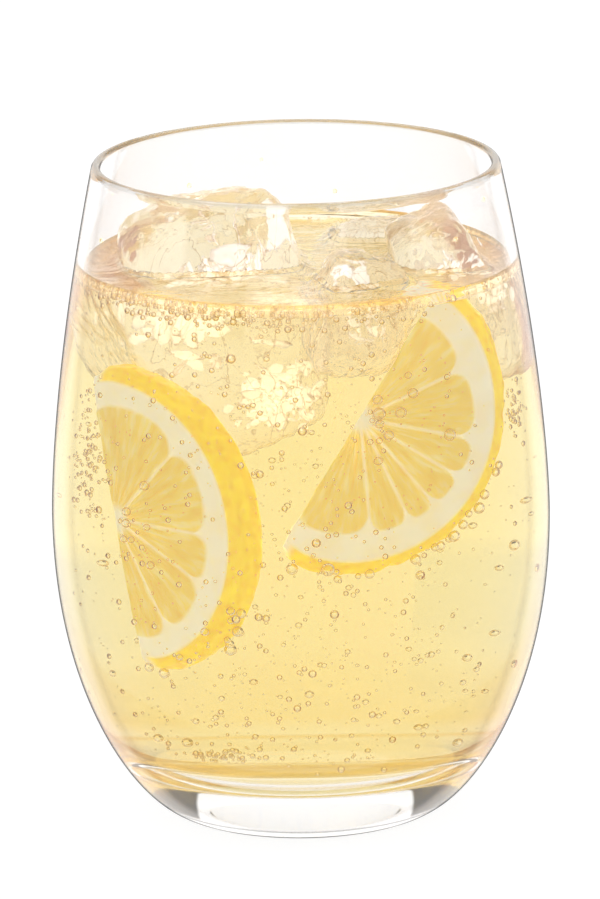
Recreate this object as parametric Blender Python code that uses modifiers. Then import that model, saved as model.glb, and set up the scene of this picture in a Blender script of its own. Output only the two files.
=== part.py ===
"""A glass of iced lemonade: a stemless tumbler, the drink in it and the ice that breaks its surface.

Metres, +Z up. The origin is the middle of the foot ring, on the plane that the glass stands on.
"""

import math
import random

import bmesh
import bpy
from mathutils import Euler, Vector

# Driving dimensions of the tumbler
GLASS_HEIGHT = 0.108
RIM_RADIUS = 0.0330
BELLY_RADIUS = 0.0408
BELLY_HEIGHT = 0.0495
FOOT_RADIUS = 0.0218
FLOOR_HEIGHT = 0.0102
FLOOR_FLAT_RADIUS = 0.0150
RIM_WALL = 0.0013
BELLY_WALL = 0.0016
PUNT_RADIUS = 0.0165
PUNT_DEPTH = 0.0010

# How full each curve of the wall is: a higher power keeps it upright for longer
SHOULDER_POWER = 1.57
HEEL_POWER, HEEL_ROOT = 2.12, 1.47
BOWL_POWER, BOWL_ROOT = 2.2, 2.3

# Driving dimensions of the drink
LEVEL = 0.0908
MENISCUS_HEIGHT = 0.0014
MENISCUS_REACH = 0.0028
GAP = 0.0003

# Facets
STEPS_AROUND = 48
WALL_ROWS = 12
ICE_CUTS = 6

# Each piece of ice: its middle, half sizes, tilt in degrees and the seed of its broken corners
ICE_PIECES = {
    "ice_left": ((-0.0122, 0.0030, 0.0832), (0.0130, 0.0126, 0.0182), (8, -20, 12), 3),
    "ice_right": ((0.0254, -0.0010, 0.0848), (0.0070, 0.0090, 0.0132), (-8, -14, 12), 8),
    "ice_middle": ((0.0087, -0.0134, 0.0862), (0.0064, 0.0064, 0.0098), (18, 10, 24), 5),
    "ice_back": ((0.0118, 0.0190, 0.0818), (0.0090, 0.0072, 0.0120), (-6, 6, -8), 11),
}
ICE_ROUNDING = 7.0
ICE_CHAMFERS = 5

# Linear colour with opacity, roughness and metallic value
CLEAR_GLASS = ((0.93, 0.95, 0.95, 0.35), 0.02, 0.0)
PALE_LEMONADE = ((0.95, 0.80, 0.38, 0.60), 0.05, 0.0)
CLEAR_ICE = ((0.93, 0.91, 0.86, 0.50), 0.08, 0.0)


def clear_scene():
    for obj in list(bpy.data.objects):
        bpy.data.objects.remove(obj, do_unlink=True)


def new_collection(name, parent=None):
    collection = bpy.data.collections.new(name)
    (parent or bpy.context.scene.collection).children.link(collection)
    return collection


def material(name, finish):
    colour, roughness, metallic = finish
    made = bpy.data.materials.new(name)
    made.use_nodes = True
    shader = made.node_tree.nodes["Principled BSDF"]
    shader.inputs["Base Color"].default_value = colour
    shader.inputs["Alpha"].default_value = colour[3]
    shader.inputs["Roughness"].default_value = roughness
    shader.inputs["Metallic"].default_value = metallic
    made.diffuse_color = colour
    return made


def bowl_curve(height, low, low_radius, wide_radius, power, root):
    """Radius of a wall that rolls under from the belly to a flat of low_radius at height low."""
    drop = min(1.0, (BELLY_HEIGHT - height) / (BELLY_HEIGHT - low))
    return low_radius + (wide_radius - low_radius) * (1 - drop**power) ** (1 / root)


def shoulder_curve(height, rim_radius, wide_radius):
    """Radius of the wall that draws in from the belly to the rim."""
    rise = (height - BELLY_HEIGHT) / (GLASS_HEIGHT - BELLY_HEIGHT)
    return rim_radius + (wide_radius - rim_radius) * (1 - rise**SHOULDER_POWER)


def outer_radius(height):
    if height > BELLY_HEIGHT:
        return shoulder_curve(height, RIM_RADIUS, BELLY_RADIUS)
    return bowl_curve(height, 0.0, FOOT_RADIUS, BELLY_RADIUS, HEEL_POWER, HEEL_ROOT)


def inner_radius(height):
    wide = BELLY_RADIUS - BELLY_WALL
    if height > BELLY_HEIGHT:
        return shoulder_curve(height, RIM_RADIUS - RIM_WALL, wide)
    return bowl_curve(height, FLOOR_HEIGHT, FLOOR_FLAT_RADIUS, wide, BOWL_POWER, BOWL_ROOT)


def heights_down(top, bottom, rows):
    """Heights from top to bottom, closer together where the wall curls under at the bottom."""
    shares = [1 - i / rows for i in range(rows + 1)]
    return [bottom + (top - bottom) * math.sin(0.5 * math.pi * share) ** 1.5 for share in shares]


def glass_profile():
    """Half section: up the inside from the floor, over the rounded rim, down the outside, under the punt."""
    bead = RIM_WALL / 2
    bead_middle = RIM_RADIUS - bead
    below_bead = GLASS_HEIGHT - bead
    floor = [(0.0, FLOOR_HEIGHT), (FLOOR_FLAT_RADIUS / 2, FLOOR_HEIGHT)]
    inside = [
        (inner_radius(z), z)
        for z in reversed(heights_down(BELLY_HEIGHT, FLOOR_HEIGHT, WALL_ROWS))
    ]
    steps = WALL_ROWS // 2
    shoulder = [
        BELLY_HEIGHT + (below_bead - BELLY_HEIGHT) * i / steps for i in range(1, steps + 1)
    ]
    inside += [(inner_radius(z), z) for z in shoulder]
    rim = [
        (bead_middle - bead * math.cos(angle), below_bead + bead * math.sin(angle))
        for angle in (math.radians(45), math.radians(90), math.radians(135))
    ]
    outside = [(outer_radius(z), z) for z in reversed(shoulder)]
    outside += [(outer_radius(z), z) for z in heights_down(BELLY_HEIGHT, 0.0, WALL_ROWS)]
    punt = [(PUNT_RADIUS, 0.0), (PUNT_RADIUS * 0.8, PUNT_DEPTH * 0.7), (0.0, PUNT_DEPTH)]
    return floor + inside + rim + outside + punt


def drink_profile():
    """Half section of the drink: the surface, its meniscus, then down along the wall and under."""
    edge = inner_radius(LEVEL) - GAP
    surface = [(0.0, LEVEL), (edge / 2, LEVEL)]
    surface += [
        (edge - MENISCUS_REACH * (1 - t), LEVEL + MENISCUS_HEIGHT * t**2.5)
        for t in (0.0, 0.5, 0.8)
    ]
    top = LEVEL + MENISCUS_HEIGHT
    bottom = FLOOR_HEIGHT + GAP
    steps = WALL_ROWS // 3
    shoulder = [top - (top - BELLY_HEIGHT) * i / steps for i in range(steps)]
    side = [(inner_radius(z) - GAP, z) for z in shoulder]
    side += [
        (inner_radius(z) - GAP, max(z, bottom))
        for z in heights_down(BELLY_HEIGHT, FLOOR_HEIGHT, WALL_ROWS)
    ]
    return surface + side + [(0.0, bottom)]


def turned(name, profile, finish, collection):
    """A solid of revolution: the profile runs down its outer side, and Screw turns it about Z."""
    mesh = bpy.data.meshes.new(name)
    mesh.from_pydata([(x, 0.0, z) for x, z in profile], [(i, i + 1) for i in range(len(profile) - 1)], [])
    obj = bpy.data.objects.new(name, mesh)
    collection.objects.link(obj)
    obj.data.materials.append(finish)
    screw = obj.modifiers.new("turn", "SCREW")
    screw.axis = "Z"
    screw.angle = 2 * math.pi
    screw.steps = screw.render_steps = STEPS_AROUND
    screw.use_merge_vertices = True
    screw.merge_threshold = 0.00002
    screw.use_smooth_shade = True
    return obj


def ice_planes(half, seed):
    """The flats of a broken block: six sides, nearly square to each other, and a few chipped corners."""
    draw = random.Random(seed)
    planes = []
    for axis in range(3):
        for side in (-1, 1):
            normal = Vector([draw.uniform(-0.16, 0.16) for _ in range(3)])
            normal[axis] = side
            planes.append((normal.normalized(), half[axis] * draw.uniform(0.92, 1.06)))
    for _ in range(ICE_CHAMFERS):
        normal = Vector([draw.choice((-1, 1)) * draw.uniform(0.4, 1.0) for _ in range(3)]).normalized()
        reach = sum(abs(normal[i]) * half[i] for i in range(3))
        planes.append((normal, reach * draw.uniform(0.76, 0.88)))
    return planes


def ice_reach(direction, planes, grow=0.0):
    """How far the block's rounded surface lies from its middle in one direction."""
    total = sum(
        max(0.0, direction.dot(normal) / (distance + grow)) ** ICE_ROUNDING for normal, distance in planes
    )
    return total ** (-1 / ICE_ROUNDING)


def ice_block(name, place, grow, collection):
    """A melting block of ice: a cube divided up, then each point pushed out to the block's surface."""
    middle, half, tilt, seed = place
    planes = ice_planes(half, seed)
    shape = bmesh.new()
    bmesh.ops.create_cube(shape, size=2.0)
    bmesh.ops.subdivide_edges(shape, edges=shape.edges[:], cuts=ICE_CUTS, use_grid_fill=True)
    for point in shape.verts:
        direction = Vector([math.tan(x * math.pi / 4.4) for x in point.co]).normalized()
        point.co = direction * ice_reach(direction, planes, grow)
    bmesh.ops.triangulate(shape, faces=shape.faces[:], quad_method="FIXED")
    bmesh.ops.recalc_face_normals(shape, faces=shape.faces[:])
    mesh = bpy.data.meshes.new(name)
    shape.to_mesh(mesh)
    shape.free()
    mesh.shade_smooth()
    obj = bpy.data.objects.new(name, mesh)
    obj.location = middle
    obj.rotation_euler = Euler([math.radians(angle) for angle in tilt])
    collection.objects.link(obj)
    return obj


def cut_round_ice(drink, ice_pieces, cutters):
    """Leaves a pocket in the drink for each piece of ice, a hair wider than the ice."""
    for name, place in ice_pieces.items():
        pocket = ice_block(f"{name}_pocket", place, GAP, cutters)
        pocket.hide_render = True
        pocket.display_type = "WIRE"
        cut = drink.modifiers.new(f"round {name}", "BOOLEAN")
        cut.operation = "DIFFERENCE"
        cut.object = pocket


def main():
    clear_scene()
    serving = new_collection("glass of lemonade")
    cutters = new_collection("cutters", serving)
    cutters.hide_render = True

    turned("glass", glass_profile(), material("clear glass", CLEAR_GLASS), serving)
    drink = turned("lemonade", drink_profile(), material("pale lemonade", PALE_LEMONADE), serving)
    ice_finish = material("clear ice", CLEAR_ICE)
    for name, place in ICE_PIECES.items():
        ice_block(name, place, 0.0, serving).data.materials.append(ice_finish)
    cut_round_ice(drink, ICE_PIECES, cutters)


main()
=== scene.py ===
# %% [markdown]
# # A glass of iced lemonade
# The lesson dresses a plain model of a stemless tumbler full of lemonade. Its solids are the glass,
# the drink and the blocks of ice that stand out of the drink. Each is made again here, finely
# enough to bend light well, and the lemon slices, the cracks in the ice and the fizz are added.
# Everything is in metres, with +Z up and the origin under the middle of the foot.

import math
import random

import bmesh
import bpy
import numpy as np
from mathutils import Euler, Matrix, Quaternion, Vector, noise
from mathutils.bvhtree import BVHTree


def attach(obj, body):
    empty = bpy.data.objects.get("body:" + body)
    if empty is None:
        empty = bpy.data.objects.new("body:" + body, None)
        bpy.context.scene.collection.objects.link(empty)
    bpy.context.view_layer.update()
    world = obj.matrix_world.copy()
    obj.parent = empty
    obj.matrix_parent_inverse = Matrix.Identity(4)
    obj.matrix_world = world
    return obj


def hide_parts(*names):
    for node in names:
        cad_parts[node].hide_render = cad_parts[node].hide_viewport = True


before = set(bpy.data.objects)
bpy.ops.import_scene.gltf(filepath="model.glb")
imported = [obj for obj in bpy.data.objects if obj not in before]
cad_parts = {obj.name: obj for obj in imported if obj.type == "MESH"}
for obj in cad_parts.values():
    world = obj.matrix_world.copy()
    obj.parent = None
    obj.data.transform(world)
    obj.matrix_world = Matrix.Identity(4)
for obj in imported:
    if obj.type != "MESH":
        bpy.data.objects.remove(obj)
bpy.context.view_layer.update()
scene = bpy.context.scene

# %% [markdown]
# ## The camera
# The view is a long lens a metre away, so that the tumbler's sides stay nearly parallel. It looks
# down by 15 degrees, which opens the rim to a slim ellipse, and it is rolled by a little under one
# degree, because the tumbler leans that much in the picture.

# %% Place the camera
AIM = Vector((0.0, 0.0, 0.0596))
CAMERA_DISTANCE, LENS_MM = 1.0385, 254.2
CAMERA_RISE, CAMERA_ROLL = math.radians(14.8), math.radians(-0.85)

lens = bpy.data.cameras.new("long lens")
lens.lens = LENS_MM
camera = bpy.data.objects.new("camera", lens)
scene.collection.objects.link(camera)
camera.location = AIM + CAMERA_DISTANCE * Vector((0, -math.cos(CAMERA_RISE), math.sin(CAMERA_RISE)))
aimed = (AIM - camera.location).to_track_quat("-Z", "Y")
camera.rotation_mode = "QUATERNION"
camera.rotation_quaternion = aimed @ Quaternion((0, 0, 1), CAMERA_ROLL)
scene.camera = camera
print("Camera at", [round(x, 4) for x in camera.location])

# %% [markdown]
# ## Nodes in few words
# A finish or a sky is a net of nodes, and the same kinds come up again and again: a sum, a soft
# step, a row of colours over a value, a noise and a bump. They could be placed by hand in the
# shader editor. A short function for each kind keeps the finishes below easy to read instead.


# %% Write nodes in few words
def add_node(owner, kind, **settings):
    """A node in the net of a material or of the sky."""
    node = owner.node_tree.nodes.new(kind)
    for setting, value in settings.items():
        setattr(node, setting, value)
    return node


def link(owner, source, target):
    owner.node_tree.links.new(source, target)


def fill(owner, socket, value):
    """Gives a socket another node's output, a colour of three parts or a number."""
    if isinstance(value, bpy.types.NodeSocket):
        link(owner, value, socket)
    else:
        socket.default_value = (*value, 1) if isinstance(value, tuple) else value


def math_node(owner, operation, *values):
    node = add_node(owner, "ShaderNodeMath", operation=operation)
    for socket, value in zip(node.inputs, values):
        fill(owner, socket, value)
    return node.outputs["Value"]


def soft_step(owner, value, low, high):
    """0 below low and 1 above high, with a smooth rise between them."""
    node = add_node(owner, "ShaderNodeMapRange", interpolation_type="SMOOTHSTEP")
    node.inputs["From Min"].default_value = low
    node.inputs["From Max"].default_value = high
    link(owner, value, node.inputs["Value"])
    return node.outputs["Result"]


def colour_ramp(owner, value, *stops):
    """Colours over a value; each stop is a position with a colour, or with a number for a grey."""
    made = add_node(owner, "ShaderNodeValToRGB")
    while len(made.color_ramp.elements) < len(stops):
        made.color_ramp.elements.new(0.5)
    for element, (position, colour) in zip(made.color_ramp.elements, stops):
        red, green, blue = colour if isinstance(colour, tuple) else (colour, colour, colour)
        element.position, element.color = position, (red, green, blue, 1)
    link(owner, value, made.inputs["Fac"])
    return made.outputs["Color"]


def blend_colour(owner, mask, below, above, blend_type="MIX"):
    """Blends two colours by a mask; each of the three may be another node's output."""
    made = add_node(owner, "ShaderNodeMix", data_type="RGBA", blend_type=blend_type)
    for socket, value in ((made.inputs["Factor"], mask), (made.inputs[6], below), (made.inputs[7], above)):
        fill(owner, socket, value)
    return made.outputs[2]


print("Sums, soft steps, colour ramps and blends take one line each")

# %% [markdown]
# The next few read something off the surface: where a point lies, how high it is, how edge-on its
# face is seen, and a noise there. Layer Weight gives the edge, which no piece's mesh could hold.


# %% Read values off a surface
def own_place(owner):
    """Where a point lies in its piece's own coordinates, in metres."""
    return add_node(owner, "ShaderNodeTexCoord").outputs["Object"]


def split(owner, vector):
    """The X, Y and Z of a vector."""
    parts = add_node(owner, "ShaderNodeSeparateXYZ")
    link(owner, vector, parts.inputs["Vector"])
    return parts.outputs


def by_height(owner, top_mm, *stops):
    """A colour ramp over the height, with each stop's height in millimetres."""
    share = math_node(owner, "DIVIDE", split(owner, own_place(owner))["Z"], top_mm / 1000)
    return colour_ramp(owner, share, *((mm / top_mm, colour) for mm, colour in stops))


def edge_on(owner):
    """How edge-on a face is seen: 0 is square on and 1 is along the face."""
    weight = add_node(owner, "ShaderNodeLayerWeight")
    weight.inputs["Blend"].default_value = 0.5
    return weight.outputs["Facing"]


def noise_value(owner, vector, scale, detail):
    made = add_node(owner, "ShaderNodeTexNoise")
    made.inputs["Scale"].default_value = scale
    made.inputs["Detail"].default_value = detail
    link(owner, vector, made.inputs["Vector"])
    return made.outputs["Fac"]


def bump(owner, height, strength, distance):
    made = add_node(owner, "ShaderNodeBump")
    made.inputs["Strength"].default_value = strength
    made.inputs["Distance"].default_value = distance
    link(owner, height, made.inputs["Height"])
    return made.outputs["Normal"]


print("So do places, heights, edges, noises and bumps")

# %% [markdown]
# ## Light
# Clear things show what is behind them, so a glass is lit by its surroundings and not by a lamp.
# The sky is a soft white studio, brightest low down where the drink looks through it, and a
# little greyer overhead, which gives the ice its shading. Between four tall windows its walls are
# grey: the thick foot of the glass gathers them into its dark corners.

# %% Light the studio
SKY_LOW, SKY_SIDE, SKY_TOP = 1.25, 1.05, 0.80
WINDOWS, WINDOW_HALF_WIDTH = 4, math.radians(27)
WALL_GREY = 0.08
WALL_LOW, WALL_HIGH = 0.07, 0.62
SOFT_SIDE, SOFT_LOW, SOFT_HIGH = 0.05, 0.03, 0.08

sky = bpy.data.worlds.new("studio")
sky.use_nodes = True
scene.world = sky
toward = split(sky, add_node(sky, "ShaderNodeTexCoord").outputs["Generated"])
brightness = colour_ramp(sky, toward["Z"], (0.0, SKY_LOW), (0.35, SKY_SIDE), (1.0, SKY_TOP))

# The cosine of four times the bearing is 1 in the middle of each window
bearing = math_node(sky, "ARCTAN2", toward["X"], toward["Y"])
across = math_node(sky, "COSINE", math_node(sky, "MULTIPLY", bearing, WINDOWS))
edge = math.cos(WINDOWS * WINDOW_HALF_WIDTH)
window = soft_step(sky, across, edge - SOFT_SIDE, edge + SOFT_SIDE)
above_table = soft_step(sky, toward["Z"], WALL_LOW - SOFT_LOW, WALL_LOW + SOFT_LOW)
above_walls = soft_step(sky, toward["Z"], WALL_HIGH - SOFT_HIGH, WALL_HIGH + SOFT_HIGH)
beside, below_top = (math_node(sky, "SUBTRACT", 1.0, mask) for mask in (window, above_walls))
walls = math_node(sky, "MULTIPLY", beside, math_node(sky, "MULTIPLY", above_table, below_top))
kept = math_node(sky, "SUBTRACT", 1.0, math_node(sky, "MULTIPLY", walls, 1.0 - WALL_GREY))
background = sky.node_tree.nodes["Background"]
link(sky, brightness, background.inputs["Color"])
link(sky, kept, background.inputs["Strength"])
print("The sky runs from", SKY_LOW, "low down to", SKY_TOP, "overhead")

# %% [markdown]
# Light that crosses glass, drink and ice meets dozens of surfaces on its way, so the renderer is
# allowed that many turns. The view transform stays plain, so that white stays white. Nothing
# reaches the drink through its glass in a straight line, so the renderer doesn't aim its rays at
# the sky: they find it by themselves, and the picture is done sooner.

# %% Let light cross many surfaces
MOST_TURNS = 80

scene.view_settings.view_transform = "Standard"
scene.cycles.max_bounces = MOST_TURNS
scene.cycles.transmission_bounces = MOST_TURNS
scene.cycles.glossy_bounces = MOST_TURNS
scene.cycles.diffuse_bounces = 4
scene.cycles.transparent_max_bounces = 8
scene.cycles.sample_clamp_indirect = 6.0
scene.cycles.use_denoising = True
scene.cycles.use_adaptive_sampling = True
scene.cycles.adaptive_threshold = 0.03
sky.cycles.sampling_method = "NONE"
print("Light may turn", MOST_TURNS, "times")

# %% [markdown]
# ## Pieces and finishes
# Most pieces are meshes that code writes point by point. One helper turns points and faces into a
# piece that rides on the model, and another starts a material with one Principled shader. The
# faint glow that some finishes have isn't a lamp, so no rays are aimed at it either.


# %% Make a piece
def new_piece(name, points, faces, finish):
    """A smooth mesh piece with its normals outward, riding on the model's one body."""
    mesh = bpy.data.meshes.new(name)
    mesh.from_pydata([tuple(point) for point in points], [], [tuple(face) for face in faces])
    shape = bmesh.new()
    shape.from_mesh(mesh)
    bmesh.ops.recalc_face_normals(shape, faces=shape.faces[:])
    shape.to_mesh(mesh)
    shape.free()
    mesh.shade_smooth()
    mesh.materials.append(finish)
    piece = bpy.data.objects.new(name, mesh)
    scene.collection.objects.link(piece)
    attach(piece, "root")
    print(f"{name}: {len(mesh.polygons)} faces")
    return piece


print("Pieces ride on the body named root")


# %% Start a material
def new_finish(name, **values):
    """A material and its Principled shader, with the named sockets set to plain values."""
    finish = bpy.data.materials.new(name)
    finish.use_nodes = True
    finish.cycles.emission_sampling = "NONE"
    shader = finish.node_tree.nodes["Principled BSDF"]
    for socket, value in values.items():
        shader.inputs[socket.replace("_", " ")].default_value = value
    return finish, shader


def end_of(finish, name):
    """The Surface or Volume socket at the end of a material's net."""
    return finish.node_tree.nodes["Material Output"].inputs[name]


def tell(finish):
    print(f"{finish.name}: {len(finish.node_tree.nodes)} nodes")


print("Finishes start from one Principled shader")


# %% [markdown]
# Broken ice and the swirling top of a drink both show fine curled lines of shade, which are painted on here.
# They are where a noise crosses its middle value, so one shader group makes them for both: it gives the
# lines, and the smooth swell under them for a bump.

# %% Draw curled lines in a shader group
curls = bpy.data.node_groups.new("curled lines", "ShaderNodeTree")
for socket, kind in (("Vector", "Vector"), ("Distortion", "Float"), ("Width", "Float"), ("Amount", "Float")):
    curls.interface.new_socket(socket, in_out="INPUT", socket_type=f"NodeSocket{kind}")
for socket in ("Lines", "Swell"):
    curls.interface.new_socket(socket, in_out="OUTPUT", socket_type="NodeSocketFloat")


def group_math(operation):
    node = curls.nodes.new("ShaderNodeMath")
    node.operation = operation
    return node


curls_in, curls_out = curls.nodes.new("NodeGroupInput"), curls.nodes.new("NodeGroupOutput")
swell = curls.nodes.new("ShaderNodeTexNoise")
swell.inputs["Scale"].default_value = 1.0
swell.inputs["Detail"].default_value = 3.0
off_middle, either_side = group_math("SUBTRACT"), group_math("ABSOLUTE")
off_middle.inputs[1].default_value = 0.5
thin = curls.nodes.new("ShaderNodeMapRange")
thin.interpolation_type = "SMOOTHSTEP"
thin.inputs["To Min"].default_value, thin.inputs["To Max"].default_value = 1.0, 0.0
line_amount, swell_amount = group_math("MULTIPLY"), group_math("MULTIPLY")
for source, target in (
    (curls_in.outputs["Vector"], swell.inputs["Vector"]),
    (curls_in.outputs["Distortion"], swell.inputs["Distortion"]),
    (curls_in.outputs["Width"], thin.inputs["From Max"]),
    (swell.outputs["Fac"], off_middle.inputs[0]),
    (off_middle.outputs["Value"], either_side.inputs[0]),
    (either_side.outputs["Value"], thin.inputs["Value"]),
    (thin.outputs["Result"], line_amount.inputs[0]),
    (curls_in.outputs["Amount"], line_amount.inputs[1]),
    (swell.outputs["Fac"], swell_amount.inputs[0]),
    (curls_in.outputs["Amount"], swell_amount.inputs[1]),
    (line_amount.outputs["Value"], curls_out.inputs["Lines"]),
    (swell_amount.outputs["Value"], curls_out.inputs["Swell"]),
):
    curls.links.new(source, target)


def curled_lines(finish, stretch, distortion, width, amount):
    """The group's outputs in a material, over its own coordinates stretched by three factors."""
    stretched = add_node(finish, "ShaderNodeVectorMath", operation="MULTIPLY")
    stretched.inputs[1].default_value = stretch
    link(finish, own_place(finish), stretched.inputs[0])
    made = add_node(finish, "ShaderNodeGroup", node_tree=curls)
    link(finish, stretched.outputs["Vector"], made.inputs["Vector"])
    for socket, value in (("Distortion", distortion), ("Width", width), ("Amount", amount)):
        fill(finish, made.inputs[socket], value)
    return made.outputs


print("The group of curled lines has", len(curls.nodes), "nodes")

# %% [markdown]
# ## The floor
# The tumbler stands on a plain pale table. It glows faintly, as an acrylic light table does, so
# that it stays white behind the glass. It is stage and not part of the object.

# %% Lay the floor
FLOOR_DROP, FLOOR_REACH = 0.0002, 4.0

pale, _ = new_finish(
    "pale table", Base_Color=(0.16, 0.16, 0.16, 1), Roughness=0.6, Specular_IOR_Level=0.0,
    Emission_Color=(1.0, 1.0, 1.0, 1), Emission_Strength=0.94,
)
floor_mesh = bpy.data.meshes.new("floor")
floor_shape = bmesh.new()
bmesh.ops.create_circle(floor_shape, cap_ends=True, segments=96, radius=FLOOR_REACH)
floor_shape.to_mesh(floor_mesh)
floor_shape.free()
floor_mesh.materials.append(pale)
floor = bpy.data.objects.new("floor", floor_mesh)
floor.location.z = -FLOOR_DROP
scene.collection.objects.link(floor)
print("The floor reaches", FLOOR_REACH, "m to each side")

# %% [markdown]
# ## The tumbler's curves
# A tumbler is a solid of revolution, so two curves say everything. The wall draws in above the
# belly with one power curve, and rolls under below it with another that ends flat, on the table
# outside and on the thick floor inside.

# %% The wall's curves
GLASS_HEIGHT = 0.108
RIM_RADIUS = 0.0330
BELLY_RADIUS, BELLY_HEIGHT = 0.0408, 0.0495
FOOT_RADIUS = 0.0218
FLOOR_HEIGHT, FLOOR_FLAT_RADIUS = 0.0102, 0.0150
RIM_WALL, BELLY_WALL = 0.0013, 0.0016
PUNT_RADIUS, PUNT_DEPTH = 0.0165, 0.0010
SHOULDER_POWER = 1.57
HEEL_POWER, HEEL_ROOT = 2.12, 1.47
BOWL_POWER, BOWL_ROOT = 2.2, 2.3


def bowl_curve(height, low, low_radius, wide_radius, power, root):
    """Radius of the wall that rolls under from the belly to a flat at height low."""
    drop = min(1.0, (BELLY_HEIGHT - height) / (BELLY_HEIGHT - low))
    return low_radius + (wide_radius - low_radius) * (1 - drop**power) ** (1 / root)


def shoulder_curve(height, rim_radius, wide_radius):
    """Radius of the wall that draws in from the belly to the rim."""
    rise = (height - BELLY_HEIGHT) / (GLASS_HEIGHT - BELLY_HEIGHT)
    return rim_radius + (wide_radius - rim_radius) * (1 - rise**SHOULDER_POWER)


def outer_radius(height):
    if height > BELLY_HEIGHT:
        return shoulder_curve(height, RIM_RADIUS, BELLY_RADIUS)
    return bowl_curve(height, 0.0, FOOT_RADIUS, BELLY_RADIUS, HEEL_POWER, HEEL_ROOT)


def inner_radius(height):
    wide = BELLY_RADIUS - BELLY_WALL
    if height > BELLY_HEIGHT:
        return shoulder_curve(height, RIM_RADIUS - RIM_WALL, wide)
    return bowl_curve(height, FLOOR_HEIGHT, FLOOR_FLAT_RADIUS, wide, BOWL_POWER, BOWL_ROOT)


def bowl_heights(low, root, rows):
    """Heights from the flat up to the belly, closer together where the wall curls under."""
    return [low + (BELLY_HEIGHT - low) * (i / rows) ** root for i in range(rows + 1)]


def shoulder_heights(top, rows):
    return [BELLY_HEIGHT + (top - BELLY_HEIGHT) * i / rows for i in range(1, rows + 1)]


print("Inside the belly the radius is", round(1000 * inner_radius(BELLY_HEIGHT), 1), "mm")

# %% [markdown]
# Blender's Screw modifier could turn a section into a solid. Here the points are written out, so
# that the section's ends close on single points of the axis, which clear glass needs: a double
# point there would show as a speck.

# %% Turn a section about the axis
STEPS_AROUND = 224


def turn(profile):
    """Points and faces of a half section that starts and ends on the axis."""
    steps = STEPS_AROUND
    points = [(0.0, 0.0, profile[0][1]), (0.0, 0.0, profile[-1][1])]
    rings = profile[1:-1]
    for radius, height in rings:
        for k in range(steps):
            angle = 2 * math.pi * k / steps
            points.append((radius * math.cos(angle), radius * math.sin(angle), height))

    def at(row, k):
        return 2 + row * steps + k % steps

    faces = [(0, at(0, k), at(0, k + 1)) for k in range(steps)]
    for row in range(len(rings) - 1):
        faces += [(at(row, k), at(row + 1, k), at(row + 1, k + 1), at(row, k + 1)) for k in range(steps)]
    faces += [(1, at(len(rings) - 1, k + 1), at(len(rings) - 1, k)) for k in range(steps)]
    return points, faces


print("One step is", round(360 / STEPS_AROUND, 2), "degrees")

# %% [markdown]
# ## The glass
# Polished glass is clear, but its edges read as fine grey lines with a pale strip inside them, because there
# the eye looks along the wall and not through it. Both are painted here: the wall is greyed by how edge-on
# it is seen, as painted shade, and the strip inside the grey glows faintly, as a painted highlight. Only
# light that goes straight to the eye is toned by how edge-on the wall is, so that the light which turns
# about inside the glass stays clear.

# %% Finish the glass
clear_glass, glass_shader = new_finish(
    "clear glass", Roughness=0.0, IOR=1.5, Transmission_Weight=1.0, Emission_Strength=0.14
)
straight_to_eye = add_node(clear_glass, "ShaderNodeLightPath").outputs["Is Camera Ray"]
seen_edge_on = math_node(clear_glass, "MULTIPLY", edge_on(clear_glass), straight_to_eye)
# Painted shade: the wall is greyed where it is seen edge-on.
glass_painted_edge_shade = colour_ramp(
    clear_glass, seen_edge_on, (0.40, 1.0), (0.575, 1.0), (0.615, (0.82, 0.79, 0.77)), (0.655, 1.0),
    (0.72, (0.965, 0.955, 0.965)), (0.86, (0.92, 0.89, 0.88)), (0.95, 0.6),
)
# Painted highlight: a pale strip inside the grey edge glows faintly.
glass_painted_glow_strip = colour_ramp(
    clear_glass, seen_edge_on, (0.64, 0.0), (0.70, (1.0, 0.93, 0.90)), (0.83, (1.0, 0.95, 0.92)), (0.88, 0.0)
)
link(clear_glass, glass_painted_edge_shade, glass_shader.inputs["Base Color"])
link(clear_glass, glass_painted_glow_strip, glass_shader.inputs["Emission Color"])
tell(clear_glass)

# %% [markdown]
# The very edge is darker still: there a plain grey surface is mixed in, as painted shade. The rim and the
# foot show fine lines too, where the wall bends so tightly that light is lost in it. They could be modelled
# as creases, but at this size none would be seen, so the same grey surface paints them by height as painted
# shade, the lowest of them a painted contact shadow round the foot.

# %% Paint the outline and the fine lines of shade
RAMP_TOP_MM = 108

# Painted shade: a plain grey surface, mixed in at the very edge and along the fine lines.
painted_outline_grey = add_node(clear_glass, "ShaderNodeBsdfPrincipled")
painted_outline_grey.inputs["Roughness"].default_value = 0.6
painted_outline_grey.inputs["Specular IOR Level"].default_value = 0.0
on_wall = by_height(clear_glass, RAMP_TOP_MM, (0.0, 1.0), (107.0, 1.0), (107.4, 0.75))
# Painted shade by height: a contact-shadow ring round the foot, two fine lines just above it and one at the
# rim.
painted_fine_lines = by_height(
    clear_glass, RAMP_TOP_MM, (0.0, 1.0), (0.45, 1.0), (0.75, 0.0), (1.30, 0.0), (1.50, 0.75), (1.70, 0.0),
    (1.95, 0.0), (2.12, 0.60), (2.30, 0.0), (107.35, 0.0), (107.50, 0.34),
)
painted_line_grey_by_height = by_height(
    clear_glass, RAMP_TOP_MM, (0.0, 0.12), (3.0, 0.12), (3.2, 0.50), (107.2, 0.50), (107.4, 0.62)
)
painted_line_grey_by_edge = colour_ramp(clear_glass, seen_edge_on, (0.84, 1.0), (0.92, 0.18))
link(clear_glass, math_node(clear_glass, "MULTIPLY", painted_line_grey_by_height, painted_line_grey_by_edge), painted_outline_grey.inputs["Base Color"])
seen = colour_ramp(clear_glass, seen_edge_on, (0.86, 0.0), (0.92, 0.85))
edge_drawn = math_node(clear_glass, "MULTIPLY", seen, on_wall)
lines_drawn = math_node(clear_glass, "MULTIPLY", painted_fine_lines, straight_to_eye)
wall = add_node(clear_glass, "ShaderNodeMixShader")
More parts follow.
